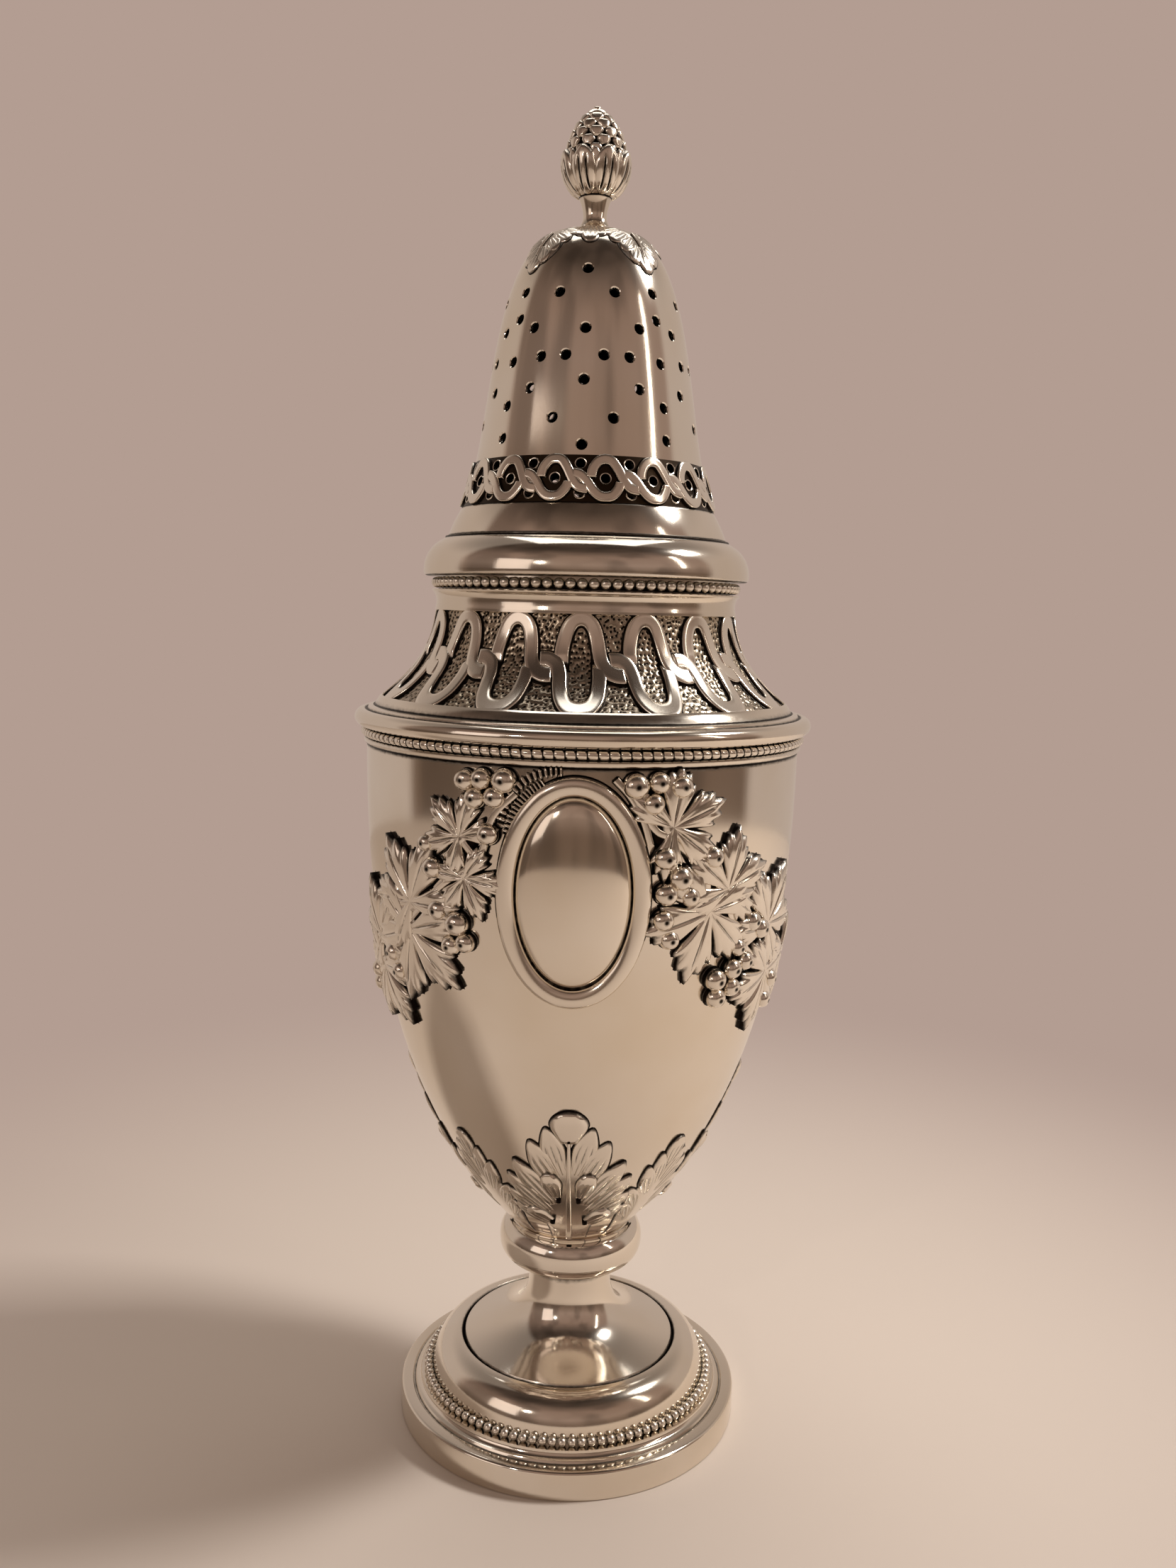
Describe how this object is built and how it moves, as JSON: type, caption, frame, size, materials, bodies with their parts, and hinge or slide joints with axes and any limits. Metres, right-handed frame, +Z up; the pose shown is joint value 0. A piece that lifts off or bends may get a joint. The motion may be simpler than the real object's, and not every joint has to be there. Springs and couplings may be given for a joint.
{
  "type": "sugar caster",
  "caption": "Vase-shaped silver sugar caster on a domed foot, with vine swags, oval medallions, a guilloche shoulder and a pull-off pierced cover with a bud finial.",
  "frame": {"origin": "on the table, under the middle of the foot", "axes": "+Z up along the caster's axis, front medallion towards -Y, +X to the right of the front"},
  "size_m": [0.0692, 0.0692, 0.2],
  "materials": {
    "polished_silver": "polished silver",
    "chased_silver": "chased silver with oxidised recesses",
    "beaded_silver": "beaded silver wire with oxidised recesses",
    "pierced_silver": "polished silver, pierced",
    "plain_silver": "dull silver"
  },
  "bodies": {
    "body": {"foot_plinth": "polished_silver", "foot_bead_wire": "beaded_silver", "foot_dome": "polished_silver", "stem_knop": "polished_silver", "bowl": "polished_silver", "calyx_large_leaves": "chased_silver", "calyx_small_leaves": "chased_silver", "front_medallion_frame": "chased_silver", "front_medallion_boss": "polished_silver", "back_medallion_frame": "chased_silver", "back_medallion_boss": "polished_silver", "left_vine_leaves": "chased_silver", "left_vine_grapes": "chased_silver", "left_vine_branch": "chased_silver", "right_vine_leaves": "chased_silver", "right_vine_grapes": "chased_silver", "right_vine_branch": "chased_silver", "rim_moulding": "polished_silver", "rim_milled_wire": "beaded_silver", "shoulder": "polished_silver", "shoulder_guilloche": "chased_silver", "neck_bead_wire": "beaded_silver", "neck_bezel": "polished_silver"},
    "cover": {"cover_flange": "polished_silver", "cover_cove": "polished_silver", "cover_pierced_band": "pierced_silver", "cover_band_straps": "chased_silver", "cover_dome": "pierced_silver", "cover_crown_leaves": "chased_silver", "finial_stem": "polished_silver", "finial_calyx": "chased_silver", "finial_cone": "chased_silver", "finial_nut": "plain_silver"}
  },
  "joints": [
    {"name": "cover_lift", "type": "slide", "parent": "body", "child": "cover", "axis": [0, 0, 1], "range_m": [0, 0.045]}
  ]
}
